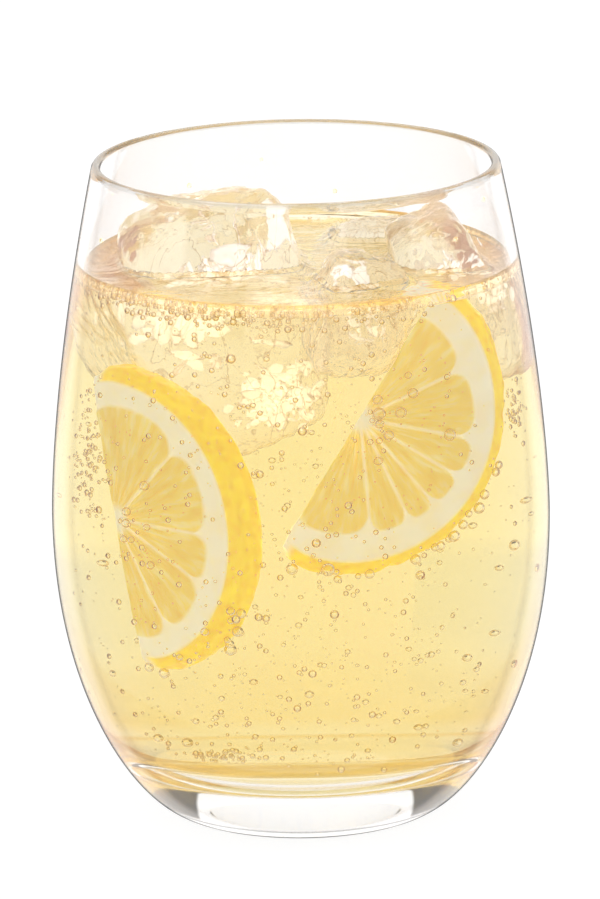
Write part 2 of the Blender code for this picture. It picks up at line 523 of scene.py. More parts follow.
link(clear_glass, math_node(clear_glass, "MAXIMUM", edge_drawn, lines_drawn), wall.inputs["Fac"])
link(clear_glass, glass_shader.outputs["BSDF"], wall.inputs[1])
link(clear_glass, painted_outline_grey.outputs["BSDF"], wall.inputs[2])
link(clear_glass, wall.outputs["Shader"], end_of(clear_glass, "Surface"))
tell(clear_glass)

# %% [markdown]
# The tumbler's section is drawn in one go, from the middle of its floor round to the middle of its
# foot. The punt is the shallow dome under the foot that keeps the glass from rocking.

# %% Blow the glass
FLAT_ROWS, BOWL_ROWS, SHOULDER_ROWS, BEAD_ROWS, PUNT_ROWS = 8, 80, 60, 14, 12


def glass_profile():
    """Half section: out on the floor, up the inside, over the bead, down the outside, under the punt."""
    bead = RIM_WALL / 2
    below_bead = GLASS_HEIGHT - bead
    floor_flat = [(FLOOR_FLAT_RADIUS * i / FLAT_ROWS, FLOOR_HEIGHT) for i in range(FLAT_ROWS)]
    shoulder = shoulder_heights(below_bead, SHOULDER_ROWS)
    inside = [(inner_radius(z), z) for z in bowl_heights(FLOOR_HEIGHT, BOWL_ROOT, BOWL_ROWS)]
    inside += [(inner_radius(z), z) for z in shoulder]
    rim = [
        (RIM_RADIUS - bead - bead * math.cos(angle), below_bead + bead * math.sin(angle))
        for angle in np.linspace(0, math.pi, BEAD_ROWS)[1:-1]
    ]
    outside = [(outer_radius(z), z) for z in reversed(shoulder)]
    outside += [(outer_radius(z), z) for z in reversed(bowl_heights(0.0, HEEL_ROOT, BOWL_ROWS))]
    punt = [(PUNT_RADIUS * share, PUNT_DEPTH * (1 - share**2)) for share in np.linspace(1, 0, PUNT_ROWS)]
    return floor_flat + inside + rim + outside + punt


glass = new_piece("tumbler", *turn(glass_profile()), clear_glass)
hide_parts("glass")

# %% [markdown]
# ## The ice
# A block of ice from a bag is a rough box whose corners have chipped and melted round. Its
# surface is found along rays from the middle: six sides and a few chipped corners are planes,
# and a power mean of their distances rounds every edge. Noise then adds the melted hollows.
# The drink gets a pocket a hair smaller than each block, so that no air shows between them.

# %% Shape a block of ice
ICE_ROUNDING, ICE_CHAMFERS, ICE_CUTS = 7.0, 5, 44
ICE_PIECES = {  # middle, half sizes, tilt in degrees, seed
    "ice_left": ((-0.0122, 0.0030, 0.0832), (0.0130, 0.0126, 0.0182), (8, -20, 12), 3),
    "ice_right": ((0.0254, -0.0010, 0.0848), (0.0070, 0.0090, 0.0132), (-8, -14, 12), 8),
    "ice_middle": ((0.0087, -0.0134, 0.0862), (0.0064, 0.0064, 0.0098), (18, 10, 24), 5),
    "ice_back": ((0.0118, 0.0190, 0.0818), (0.0090, 0.0072, 0.0120), (-6, 6, -8), 11),
}


def ice_planes(half, seed):
    """Six sides that are nearly square to each other, and a few chipped corners."""
    draw = random.Random(seed)
    planes = []
    for axis in range(3):
        for side in (-1, 1):
            normal = Vector([draw.uniform(-0.16, 0.16) for _ in range(3)])
            normal[axis] = side
            planes.append((normal.normalized(), half[axis] * draw.uniform(0.92, 1.06)))
    for _ in range(ICE_CHAMFERS):
        normal = Vector([draw.choice((-1, 1)) * draw.uniform(0.4, 1.0) for _ in range(3)]).normalized()
        reach = sum(abs(normal[i]) * half[i] for i in range(3))
        planes.append((normal, reach * draw.uniform(0.76, 0.88)))
    return planes


def melt(point, seed):
    """Depth of the melted hollows at a point on the ice, in metres."""
    offset = Vector((seed * 1.7, seed * 0.9, seed * 2.3))
    broad = noise.noise(point * 150 + offset)
    scallops = abs(noise.noise(point * 310 + offset))
    ridges = abs(noise.noise(Vector((point.x * 420, point.y * 420, point.z * 160)) + offset))
    steps = abs(noise.noise(point * 760 + offset))
    return 0.00065 * broad - 0.00060 * scallops - 0.00060 * ridges - 0.00022 * steps


def ice_block(place, grow):
    """Points and faces of one block, grown or shrunk by a hair."""
    middle, half, tilt, seed = place
    planes = ice_planes(half, seed)
    turned = Euler([math.radians(angle) for angle in tilt]).to_matrix()
    shape = bmesh.new()
    bmesh.ops.create_cube(shape, size=2.0)
    bmesh.ops.subdivide_edges(shape, edges=shape.edges[:], cuts=ICE_CUTS, use_grid_fill=True)
    for point in shape.verts:
        ray = Vector([math.tan(x * math.pi / 4.4) for x in point.co]).normalized()
        total = sum(max(0.0, ray.dot(normal) / distance) ** ICE_ROUNDING for normal, distance in planes)
        surface = ray * total ** (-1 / ICE_ROUNDING)
        point.co = turned @ (surface + ray * (melt(surface, seed) + grow)) + Vector(middle)
    points = [point.co.copy() for point in shape.verts]
    faces = [[point.index for point in face.verts] for face in shape.faces]
    shape.free()
    return points, faces


print("Each block starts as a cube with its edges cut", ICE_CUTS, "times")

# %% [markdown]
# Ice bends light a little less than glass. Its edges look brown in a golden drink, and fine brown strokes
# run through it. Both are painted shade: a Facing ramp gives the first and the group of curled lines the
# second. A faint warm glow is painted light, and a fine bump stands for the wet, pitted skin.

# %% Finish the ice
# Painted light: the ice glows faintly warm.
clear_ice, ice_shader = new_finish(
    "clear ice", Roughness=0.0, IOR=1.27, Transmission_Weight=0.86,
    Emission_Color=(1.0, 0.92, 0.82, 1), Emission_Strength=0.07,
)
# Painted shade: the ice turns brown where it is seen edge-on, and brown curled strokes run through it.
ice_painted_edge_shade = colour_ramp(
    clear_ice, edge_on(clear_ice), (0.45, (0.995, 0.955, 0.90)), (0.95, (0.82, 0.65, 0.43))
)
ice_painted_strokes = curled_lines(clear_ice, stretch=(125, 125, 55), distortion=1.8, width=0.013, amount=0.9)
ice_colour_with_painted_shade = blend_colour(clear_ice, ice_painted_strokes["Lines"], ice_painted_edge_shade, (0.58, 0.40, 0.23))
pits = noise_value(clear_ice, own_place(clear_ice), 900.0, 3.0)
link(clear_ice, ice_colour_with_painted_shade, ice_shader.inputs["Base Color"])
link(clear_ice, bump(clear_ice, pits, 0.18, 0.0004), ice_shader.inputs["Normal"])
tell(clear_ice)

# %% Drop the blocks in
ice_blocks = {}
for name, place in ICE_PIECES.items():
    block = new_piece(f"{name}_block", *ice_block(place, 0.0), clear_ice)
    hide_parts(name)
    ice_blocks[name] = block

# %% [markdown]
# ## The drink
# Lemonade takes its colour from its depth, so the dye is in the volume: it shows deeper where the eye looks
# through more of it. The surface tints are painted shade, for what the depth can't give: a browner top with
# brown swirl lines in it, a faint warm tint toward the top of the side, and bands of deeper gold and brown
# painted low on the side, over the curled-up floor.

# %% Finish the lemonade
LEVEL = 0.0908
DRINK_RAMP_MM = 100

pale_lemonade, lemonade_shader = new_finish(
    "pale lemonade", Roughness=0.0, IOR=1.333, Transmission_Weight=1.0, Emission_Strength=1.0
)
dye = add_node(pale_lemonade, "ShaderNodeVolumeAbsorption")
dye.inputs["Color"].default_value = (0.958, 0.826, 0.200, 1)
dye.inputs["Density"].default_value = 21.0
link(pale_lemonade, dye.outputs["Volume"], end_of(pale_lemonade, "Volume"))

height = split(pale_lemonade, own_place(pale_lemonade))["Z"]
on_top = soft_step(pale_lemonade, height, LEVEL - 0.0006, LEVEL - 0.0001)
# Painted shade: a browner top with brown swirl lines, and bands by height low on the side.
painted_top_shade = colour_ramp(pale_lemonade, on_top, (0.0, 1.0), (1.0, (0.975, 0.90, 0.72)))
painted_side_bands = by_height(
    pale_lemonade, DRINK_RAMP_MM, (11.3, 1.0), (11.7, (0.88, 0.69, 0.34)), (12.1, 1.0),
    (14.0, (0.955, 0.83, 0.50)), (19.5, (0.962, 0.86, 0.58)), (24.0, (0.990, 0.945, 0.83)),
    (32.0, 1.0), (74.0, 1.0), (86.0, (0.995, 0.97, 0.90)),
)
swirls = curled_lines(pale_lemonade, stretch=(60, 170, 60), distortion=1.4, width=0.030, amount=on_top)
painted_top_shade_and_swirls = blend_colour(pale_lemonade, swirls["Lines"], painted_top_shade, (0.66, 0.46, 0.20))
painted_drink_shade = blend_colour(pale_lemonade, on_top, painted_side_bands, painted_top_shade_and_swirls)
link(pale_lemonade, painted_drink_shade, lemonade_shader.inputs["Base Color"])
link(pale_lemonade, bump(pale_lemonade, swirls["Swell"], 0.5, 0.0012), lemonade_shader.inputs["Normal"])
tell(pale_lemonade)

# %% [markdown]
# The meniscus is where the drink climbs the wall. It gathers light from all round, more than the
# renderer can follow, so a ring of the surface near the wall glows faintly.

# %% Brighten the meniscus
GLOW_FROM, GLOW_FULL = 0.0265, 0.0335

flattened = add_node(pale_lemonade, "ShaderNodeVectorMath", operation="MULTIPLY")
flattened.inputs[1].default_value = (1, 1, 0)
from_axis = add_node(pale_lemonade, "ShaderNodeVectorMath", operation="LENGTH")
link(pale_lemonade, own_place(pale_lemonade), flattened.inputs[0])
link(pale_lemonade, flattened.outputs["Vector"], from_axis.inputs[0])
near_wall = soft_step(pale_lemonade, from_axis.outputs["Value"], GLOW_FROM, GLOW_FULL)
ring = math_node(pale_lemonade, "MULTIPLY", near_wall, on_top)
ring_glow = blend_colour(pale_lemonade, ring, (0, 0, 0), (0.15, 0.125, 0.080))
link(pale_lemonade, ring_glow, lemonade_shader.inputs["Emission Color"])
tell(pale_lemonade)

# %% [markdown]
# The lemonade is one closed body. Its side lies a quarter of a millimetre inside the glass wall:
# where two clear solids overlap, light leaves one as it is in the other, so no film of air
# shows. The surface climbs the wall and the ice in a meniscus, and has slight ripples.

# %% Draw the drink's section
MENISCUS_HEIGHT, MENISCUS_REACH = 0.0014, 0.0028
INTO_WALL = 0.00025
TOP_ROWS, MENISCUS_ROWS, DRINK_SHOULDER_ROWS, DRINK_FLOOR_ROWS = 70, 12, 50, 9


def pushed_out(profile, distance):
    """The same curve moved sideways, away from the drink, by a small distance."""
    line = np.array(profile)
    along = np.gradient(line, axis=0)
    along /= np.linalg.norm(along, axis=1)[:, None]
    return [tuple(p) for p in line + distance * np.stack([-along[:, 1], along[:, 0]], axis=1)]


def drink_profile():
    """Half section: out along the surface, up the meniscus, down the wall and in along the floor."""
    heights = shoulder_heights(LEVEL + MENISCUS_HEIGHT, DRINK_SHOULDER_ROWS)[::-1]
    heights += bowl_heights(FLOOR_HEIGHT, BOWL_ROOT, BOWL_ROWS)[::-1]
    wall = [(inner_radius(z), z) for z in heights]
    wall += [(FLOOR_FLAT_RADIUS * share, FLOOR_HEIGHT) for share in np.linspace(1, 0, DRINK_FLOOR_ROWS)[1:]]
    wall = pushed_out(wall, INTO_WALL)
    wall[-1] = (0.0, wall[-1][1])
    edge, edge_height = wall[0]
    flat = edge - MENISCUS_REACH
    surface = [(flat * i / TOP_ROWS, LEVEL) for i in range(TOP_ROWS + 1)]
    surface += [
        (flat + MENISCUS_REACH * t, LEVEL + (edge_height - LEVEL) * t**2.5)
        for t in np.linspace(0, 1, MENISCUS_ROWS)[1:-1]
    ]
    return surface + wall


print("The meniscus climbs", round(1000 * MENISCUS_HEIGHT, 1), "mm")

# %% [markdown]
# A flat surface would look like a sheet of plastic. Two noises, stretched along the view, give it
# long low ripples, and it rises in a little fillet wherever it meets ice.

# %% Pour it round the ice
RIPPLE_HEIGHT, SHIVER_HEIGHT = 0.00030, 0.00012
FILLET_HEIGHT, FILLET_REACH = 0.0012, 0.0009


def tree_of(piece):
    """A search tree over a piece's faces, which finds the nearest one to any point."""
    mesh = piece.data
    return BVHTree.FromPolygons([v.co for v in mesh.vertices], [p.vertices for p in mesh.polygons])


def ripple(point, trees):
    """How far the surface stands above its level at a point."""
    rise = RIPPLE_HEIGHT * noise.noise(Vector((point[0] * 70, point[1] * 190, 4.2)))
    rise += SHIVER_HEIGHT * noise.noise(Vector((point[0] * 240, point[1] * 420, 1.7)))
    for tree in trees:
        gap = tree.find_nearest(Vector(point))[3]
        rise += FILLET_HEIGHT * math.exp(-gap / FILLET_REACH)
    return rise


def pour(blocks):
    points, faces = turn(drink_profile())
    trees = [tree_of(block) for block in blocks]
    flat = inner_radius(LEVEL) - MENISCUS_REACH
    for i, point in enumerate(points):
        if abs(point[2] - LEVEL) < 1e-6 and math.hypot(point[0], point[1]) < flat + 0.001:
            points[i] = (point[0], point[1], point[2] + ripple(point, trees))
    return new_piece("lemonade_body", points, faces, pale_lemonade)


lemonade = pour(ice_blocks.values())
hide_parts("lemonade")

# %% [markdown]
# Each block's pocket is cut with a Boolean, which is applied at once. The cutter is the same block
# shrunk by a hair, so that the ice and the drink overlap a little, as the drink and the glass do.

# %% Cut the pockets for the ice
ICE_OVERLAP = 0.00022


def cut(body, points, faces):
    """Takes a closed shape out of a body."""
    mesh = bpy.data.meshes.new("pocket")
    mesh.from_pydata(points, [], faces)
    pocket = bpy.data.objects.new("pocket", mesh)
    scene.collection.objects.link(pocket)
    taken = body.modifiers.new("pocket", "BOOLEAN")
    taken.operation = "DIFFERENCE"
    taken.solver = "MANIFOLD"
    taken.object = pocket
    bpy.context.view_layer.update()
    left = bpy.data.meshes.new_from_object(body.evaluated_get(bpy.context.evaluated_depsgraph_get()))
    body.modifiers.clear()
    body.data = left
    bpy.data.objects.remove(pocket, do_unlink=True)
    bpy.data.meshes.remove(mesh)


for place in ICE_PIECES.values():
    cut(lemonade, *ice_block(place, -ICE_OVERLAP))
lemonade.data.shade_smooth()
print("The lemonade has", len(lemonade.data.polygons), "faces after the pockets are cut")

# %% [markdown]
# ## The lemon slices
# Each slice is half a wheel cut from a lemon. Its face is a grid of radius by angle, which makes
# the radial build easy: segments of pulp between pale membranes, a ring of pith and a thin
# yellow rind. Two masks saved at the points, one for pulp and one for rind, steer the colours,
# and the angle and radius saved beside them stretch the texture of the juice sacs.

# %% Finish the lemon
lemon, lemon_shader = new_finish(
    "lemon", Roughness=0.2, IOR=1.18, Coat_Roughness=0.12, Emission_Strength=0.70,
    Subsurface_Weight=0.35, Subsurface_Radius=(1.0, 0.7, 0.25), Subsurface_Scale=0.003,
)
zones = add_node(lemon, "ShaderNodeAttribute", attribute_name="zones")
masks = add_node(lemon, "ShaderNodeSeparateColor")
link(lemon, zones.outputs["Color"], masks.inputs["Color"])
is_pulp, is_rind = masks.outputs["Red"], masks.outputs["Green"]
polar = add_node(lemon, "ShaderNodeAttribute", attribute_name="polar").outputs["Vector"]
sacs = noise_value(lemon, polar, 1.0, 4.0)
blotch = noise_value(lemon, own_place(lemon), 260.0, 2.0)
pores = noise_value(lemon, own_place(lemon), 950.0, 2.0)
pulp_colour = colour_ramp(
    lemon, sacs, (0.32, (0.92, 0.64, 0.11)), (0.52, (0.96, 0.72, 0.16)), (0.70, (1.0, 0.86, 0.38))
)
pith_colour = colour_ramp(lemon, blotch, (0.35, (1.0, 0.88, 0.63)), (0.65, (1.0, 0.94, 0.77)))
rind_colour = colour_ramp(lemon, pores, (0.30, (0.99, 0.63, 0.0)), (0.70, (1.0, 0.78, 0.01)))
flesh = blend_colour(lemon, is_pulp, pith_colour, pulp_colour)
link(lemon, blend_colour(lemon, is_rind, flesh, rind_colour), lemon_shader.inputs["Base Color"])
link(lemon, math_node(lemon, "MULTIPLY", is_rind, 0.6), lemon_shader.inputs["Coat Weight"])
tell(lemon)

# %% [markdown]
# A slice in a bright drink is lit from every side and through itself. That many turns of light
# would take the renderer too long, so a faint glow in the slice's own colours stands for them.

# %% Let light through the slices
rind_glow = colour_ramp(lemon, pores, (0.34, (0.77, 0.48, 0.0)), (0.66, (0.94, 0.71, 0.0)))
flesh_glow = blend_colour(lemon, 1.0, flesh, (0.72, 0.71, 0.70), blend_type="MULTIPLY")
link(lemon, blend_colour(lemon, is_rind, flesh_glow, rind_glow), lemon_shader.inputs["Emission Color"])
tell(lemon)

# %% [markdown]
# Across the face, a point is pulp, membrane, pith or rind by its radius and by the angle to the
# nearest membrane. Segments swell a little out of the cut, and the rind is rounded off.

# %% Carve a slice's face
MEMBRANE_HALF_WIDTH, MEMBRANE_SHARE = 0.00044, 0.30
PULP_REACH, RIND_FROM, RIND_TO = 0.80, 0.940, 0.966
END_FADE = (0.01, 0.11)


def smooth_step(value, low, high):
    t = min(1.0, max(0.0, (value - low) / (high - low)))
    return t * t * (3 - 2 * t)


def off_ends(angle, low, high):
    """0 at the two tips of the half wheel and 1 away from them."""
    return smooth_step(min(angle, math.pi - angle), low, high)


def face_point(radius, angle, size, membranes, seed):
    """Relief in metres, pulp share and rind share at one point of a slice's face."""
    bounds = [-0.12] + membranes + [math.pi + 0.12]
    k = max(i for i in range(len(bounds) - 1) if angle >= bounds[i] or i == 0)
    across = 2 * (angle - bounds[k]) / (bounds[k + 1] - bounds[k]) - 1
    nearest = min(abs(angle - bounds[k]), abs(bounds[k + 1] - angle))
    pulp_end = size * (PULP_REACH + 0.02 * math.sin(3 * angle + seed)) * (1 - 0.15 * abs(across) ** 5)
    between = smooth_step(radius * math.sin(min(nearest, 1.5)), 0.00005, MEMBRANE_HALF_WIDTH)
    pulp = MEMBRANE_SHARE + (1 - MEMBRANE_SHARE) * between
    pulp *= smooth_step(pulp_end - radius, 0.0, 0.0006) * smooth_step(radius, 0.0010, 0.0032)
    rind = smooth_step(radius, size * RIND_FROM, size * RIND_TO) * off_ends(angle, *END_FADE)
    sac = noise.noise(Vector((angle * 15, radius * 190, seed * 3.1)))
    lumps = noise.noise(Vector((angle * 6, radius * 420, seed * 1.3 + 7)))
    relief = pulp * (0.00030 + 0.00026 * sac + 0.00010 * lumps)
    relief -= 0.0006 * smooth_step(radius, size * 0.955, size)
    return relief, pulp, rind


print("A slice is pulp out to", PULP_REACH, "of its radius, and rind from", RIND_FROM)

# %% [markdown]
# The two faces are joined by bridges: the pitted rind round the outside and the straight cut
# through the middle of the lemon. The cut is a little slanted and uneven, as a knife leaves it.

# %% Grow a half slice
FACE_ROWS, FACE_STEPS, RIND_ROWS = 78, 240, 22


def half_slice(size, thickness, membranes_deg, seed, bevel):
    """Points, faces, zone colours and polar coordinates of a half slice in the XY plane, cut along X."""
    membranes = [math.radians(m) for m in membranes_deg]
    points, faces, zone_list, polar_list = [], [], [], []

    def rounded(x, y, z):
        """Draws in the two tips of the half wheel, and leaves its cut slanted and a little uneven."""
        radius, angle = math.hypot(x, y), math.atan2(max(y, 0.0), x)
        from_end = min(angle, math.pi - angle)
        drawn_in = 1 - 0.03 * math.exp(-((from_end / 0.10) ** 2)) * smooth_step(radius, 0.6 * size, size)
        uneven = 0.00045 * noise.noise(Vector((x * 210, seed * 1.9, 0.5)))
        slant = bevel * (thickness / 2 - z) * max(0.0, 1 - y / size) ** 2
        return x * drawn_in, y * drawn_in + uneven * max(0.0, 1 - from_end / 0.35) + slant

    def add(place, pulp, rind, angle, radius):
        x, y, z = place
        points.append((x, y, z))
        zone_list.append((pulp, rind, 0.0, 1.0))
        polar_list.append((angle * 16, radius * 230, z * 700))
        return len(points) - 1

    def grid(rows):
        for lower, upper in zip(rows, rows[1:]):
            for i in range(len(lower) - 1):
                faces.append((lower[i], lower[i + 1], upper[i + 1], upper[i]))

    angles = [math.pi * j / FACE_STEPS for j in range(FACE_STEPS + 1)]
    radii = [size * i / FACE_ROWS for i in range(1, FACE_ROWS + 1)]
    edges = {}
    for side in (1, -1):
        rows = []
        for radius in radii:
            row = []
            for angle in angles:
                relief, pulp, rind = face_point(radius, angle, size, membranes, seed + side)
                z = side * (thickness / 2 + relief)
                x, y = rounded(radius * math.cos(angle), radius * math.sin(angle), z)
                row.append(add((x, y, z), pulp, rind, angle, radius))
            rows.append(row)
        z = side * thickness / 2
        hub = add((*rounded(0.0, 0.0, z), z), 0, 0, 0, 0)
        rows.insert(0, [hub] * len(angles))
        for i in range(len(angles) - 1):
            faces.append((hub, rows[1][i + 1], rows[1][i]))
        grid(rows[1:])
        edges[side] = rows

    def bridge(front, back, bulge):
        """Rows of points between matching points of the two faces."""
        rows = [front]
        for k in range(1, RIND_ROWS):
            share = k / RIND_ROWS
            row = []
            for column, (a, b) in enumerate(zip(front, back)):
                place = Vector(points[a]).lerp(Vector(points[b]), share)
                offset, pulp, rind, angle, radius = bulge(place, share, column)
                row.append(add(place + offset, pulp, rind, angle, radius))
            rows.append(row)
        rows.append(back)
        grid(rows)

    def rind_bulge(place, share, column):
        out = Vector((place.x, place.y, 0)).normalized()
        angle = angles[column]
        crown = 0.0009 * (1 - (2 * share - 1) ** 4)
        pore = 0.00034 * noise.noise(place * 560) + 0.00040 * noise.noise(place * 240 + Vector((seed, 0, 0)))
        fade = min(1.0, 6 * share, 6 * (1 - share))
        swelling = out * off_ends(angle, 0.0, 0.08) * (crown + fade * pore)
        return swelling, 0.0, off_ends(angle, *END_FADE), angle, size

    def cut_bulge(side):
        def bulge(place, share, _):
            radius = abs(place.x)
            angle = 0.0 if side > 0 else math.pi
            _, pulp, rind = face_point(max(radius, 1e-5), 0.0, size, [], seed)
            fade = min(1.0, 5 * share, 5 * (1 - share)) * smooth_step(radius, 0.0, 0.002)
            fade *= 1 - smooth_step(radius, 0.85 * size, 0.96 * size)
            dip = 0.00035 * noise.noise(Vector((place.x * 230, share * 7, seed * 2.2 + side)))
            return Vector((0, fade * dip, 0)), pulp, rind, angle + share, radius

        return bulge

    bridge(edges[1][-1], edges[-1][-1], rind_bulge)
    for side, column in ((1, 0), (-1, -1)):
        bridge([row[column] for row in edges[1]], [row[column] for row in edges[-1]], cut_bulge(side))
    return points, faces, zone_list, polar_list


print("A face has", FACE_ROWS * FACE_STEPS, "cells")

# %% [markdown]
# A slice is placed by its hub, the middle of its wheel. It is spun in its own plane, stood up and
# turned about the vertical. The two hang near the wall, at different turns.

# %% Place the slices
RIGHT_HUB, RIGHT_TURN_DEG = (0.0085, -0.0200, 0.0705), 19


def sink_slice(name, hub, turn_deg, spin_deg, squeeze, **shape_values):
    """Puts a half slice in the drink: spun in its plane, stood up, squeezed sideways and turned."""
    points, faces, zone_list, polar_list = half_slice(**shape_values)
    stand = Matrix.Rotation(math.radians(90), 4, "X")
    spin = Matrix.Rotation(math.radians(spin_deg), 4, "Z")
    oval = Matrix.Diagonal((squeeze, 1, 1, 1))
    spun = Matrix.Rotation(math.radians(turn_deg), 4, "Z") @ oval @ stand @ spin
    shift = Matrix.Translation((0, 0, -shape_values["thickness"] / 2))
    place = Matrix.Translation(hub) @ spun @ shift
    piece = new_piece(name, [place @ Vector(p) for p in points], faces, lemon)
    colours = piece.data.color_attributes.new("zones", "FLOAT_COLOR", "POINT")
    colours.data.foreach_set("color", np.array(zone_list, np.float32).ravel())
    coordinates = piece.data.attributes.new("polar", "FLOAT_VECTOR", "POINT")
    coordinates.data.foreach_set("vector", np.array(polar_list, np.float32).ravel())
    shape = bmesh.new()
    shape.from_mesh(piece.data)
    bmesh.ops.remove_doubles(shape, verts=shape.verts[:], dist=1e-7)
    bmesh.ops.dissolve_degenerate(shape, dist=1e-8, edges=shape.edges[:])
    bmesh.ops.recalc_face_normals(shape, faces=shape.faces[:])
    shape.to_mesh(piece.data)
    shape.free()
    piece.data.shade_smooth()
    return piece


right_slice = sink_slice(
    "lemon_slice_right", RIGHT_HUB, RIGHT_TURN_DEG, spin_deg=236.3, squeeze=0.90,
    size=0.0243, thickness=0.0054, membranes_deg=(38, 58, 72, 89, 108, 144), seed=2, bevel=0.45,
)
left_slice = sink_slice(
    "lemon_slice_left", (-0.0250, -0.0085, 0.0516), -49.5, spin_deg=-78, squeeze=1.0,
    size=0.0232, thickness=0.0064, membranes_deg=(20, 54, 80, 127), seed=6, bevel=0.0,
)

# %% [markdown]
# ## The fizz
# A bubble in a drink is a ball of air, so it bends light the other way: its index is that of air over that
# of the drink, 0.75. Its rim looks brown, as the deep drink beside it does, and that brown is painted shade,
# set by how edge-on the rim is seen.

# %% Finish the bubbles
AIR_IN_DRINK = 0.75

air = bpy.data.materials.new("air in drink")
air.use_nodes = True
air.node_tree.nodes.remove(air.node_tree.nodes["Principled BSDF"])
air_shader = add_node(air, "ShaderNodeBsdfGlass")
air_shader.inputs["IOR"].default_value = AIR_IN_DRINK
air_shader.inputs["Roughness"].default_value = 0.0
# Painted shade: the bubble's rim turns brown where it is seen edge-on.
painted_bubble_rim_shade = colour_ramp(air, edge_on(air), (0.30, 1.0), (0.75, (0.74, 0.55, 0.32)))
link(air, painted_bubble_rim_shade, air_shader.inputs["Color"])
link(air, air_shader.outputs["BSDF"], end_of(air, "Surface"))
tell(air)

# %% [markdown]
# All bubbles of a kind are one mesh of small balls, because hundreds of separate pieces would be
# slow to handle. Most hang behind the front wall, and the rest rise in the middle of the drink.


# %% Fill the drink with bubbles
def balls(name, centres, radii, finish, fineness=2):
    """One mesh of many small balls."""
    shape = bmesh.new()
    bmesh.ops.create_icosphere(shape, subdivisions=fineness, radius=1.0)
    unit = np.array([v.co for v in shape.verts])
    triangles = np.array([[v.index for v in face.verts] for face in shape.faces])
    shape.free()
    centres, radii = np.array(centres), np.array(radii)
    points = centres[:, None, :] + radii[:, None, None] * unit[None]
    faces = triangles[None] + (np.arange(len(centres)) * len(unit))[:, None, None]
    return new_piece(name, points.reshape(-1, 3), faces.reshape(-1, 3).tolist(), finish)


def bubble_spots(count, seed, smallest, largest, rarity, clear_of):
    """Places and sizes for bubbles; a higher rarity makes the large ones fewer."""
    draw = random.Random(seed)
    centres, radii = [], []
    while len(centres) < count:
        height = draw.uniform(FLOOR_HEIGHT + 0.003, LEVEL - 0.002)
        size = smallest + (largest - smallest) * draw.random() ** rarity
        by_wall = draw.random() < 0.55
        angle = math.radians(draw.gauss(262, 34)) if by_wall else draw.uniform(0, 2 * math.pi)
        share = draw.uniform(0.84, 0.98) if by_wall else 0.78 * draw.random() ** 0.5
        reach = share * (inner_radius(height) - 0.0006 - size)
        spot = Vector((reach * math.cos(angle), reach * math.sin(angle), height))
        if all(tree.find_nearest(spot)[3] > 2 * size + 0.0004 for tree in clear_of):
            centres.append(spot)
            radii.append(size)
    return centres, radii


solids = [tree_of(piece) for piece in (*ice_blocks.values(), right_slice, left_slice)]
balls("fizz", *bubble_spots(1500, 4, 0.00012, 0.00050, 3.5, solids), air)
balls("fizz_large", *bubble_spots(60, 9, 0.00042, 0.00078, 1.5, solids), air, 3)

# %% [markdown]
# Bubbles gather where something breaks the flow. Strings of large ones hang under the rinds, and
# tiny ones sit all over the slices. Each is set on a face of the slice, along its normal.


# %% Hang bubbles on the slices
def clinging(piece, count, seed, smallest, largest, wanted):
    """Places for bubbles that touch a piece's faces, where wanted(normal, middle) says so."""
    draw = random.Random(seed)
    faces = [face for face in piece.data.polygons if wanted(face.normal, face.center)]
    centres, radii = [], []
    for _ in range(20 * count):
        face = draw.choice(faces)
        size = draw.uniform(smallest, largest)
        spot = face.center + face.normal * (size + 0.00005)
        if all((spot - other).length > size + radius for other, radius in zip(centres, radii)):
            if math.hypot(spot.x, spot.y) < inner_radius(spot.z) - size - 0.0004:
                centres.append(spot)
                radii.append(size)
        if len(centres) == count:
            break
    return centres, radii


def down(normal, _):
    return normal.z < -0.35 and normal.y < 0.15


def under_front_edge(normal, middle):
    """Under the right slice's rind, near its front face."""
    turn_angle = math.radians(RIGHT_TURN_DEG)
    along, across = middle.x - RIGHT_HUB[0], middle.y - RIGHT_HUB[1]
    depth = across * math.cos(turn_angle) - along * math.sin(turn_angle)
    return normal.z < -0.30 and depth < 0.0026


def any_way(*_):
    return True


def joined(groups):
    """One list of places and one of sizes, out of several pairs of lists."""
    return [c for centres, _ in groups for c in centres], [r for _, radii in groups for r in radii]


strings = [
    clinging(right_slice, 30, 21, 0.00045, 0.00100, under_front_edge),
    clinging(left_slice, 20, 22, 0.00045, 0.00090, down),
    clinging(right_slice, 30, 23, 0.00016, 0.00030, any_way),
    clinging(left_slice, 34, 24, 0.00016, 0.00030, any_way),
]
balls("fizz_on_slices", *joined(strings), air, 3)

# %% [markdown]
# At three places bubbles crowd: by the left and the right wall and over the floor. Each crowd is a
# cloud that thins out from its middle.

# %% Crowd bubbles together
CLUSTERS = [  # middle, spread, count, seed
    ((-0.0305, -0.0110, 0.0610), (0.0026, 0.0030, 0.0085), 150, 51),
    ((0.0318, -0.0118, 0.0690), (0.0016, 0.0024, 0.0042), 70, 52),
    ((-0.0120, -0.0200, 0.0160), (0.0050, 0.0030, 0.0010), 60, 53),
]


def cluster(middle, spread, count, seed):
    """Bubbles crowded round a point, clear of the slices and the wall."""
    draw = random.Random(seed)
    centres, radii = [], []
    while len(centres) < count:
        size = 0.00016 + 0.00034 * draw.random() ** 2
        spot = Vector([m + s * draw.gauss(0, 0.6) for m, s in zip(middle, spread)])
        inside = math.hypot(spot.x, spot.y) < inner_radius(max(spot.z, FLOOR_HEIGHT)) - size - 0.0004
        if inside and all(tree.find_nearest(spot)[3] > size + 0.0003 for tree in solids):
            centres.append(spot)
            radii.append(size)
    return centres, radii


balls("fizz_clusters", *joined([cluster(*values) for values in CLUSTERS]), air)

# %% [markdown]
# Bubbles that reach the top are pushed to the wall by the surface's tension, and stay there as a
# thin foam. Here it is thickest at the front left.


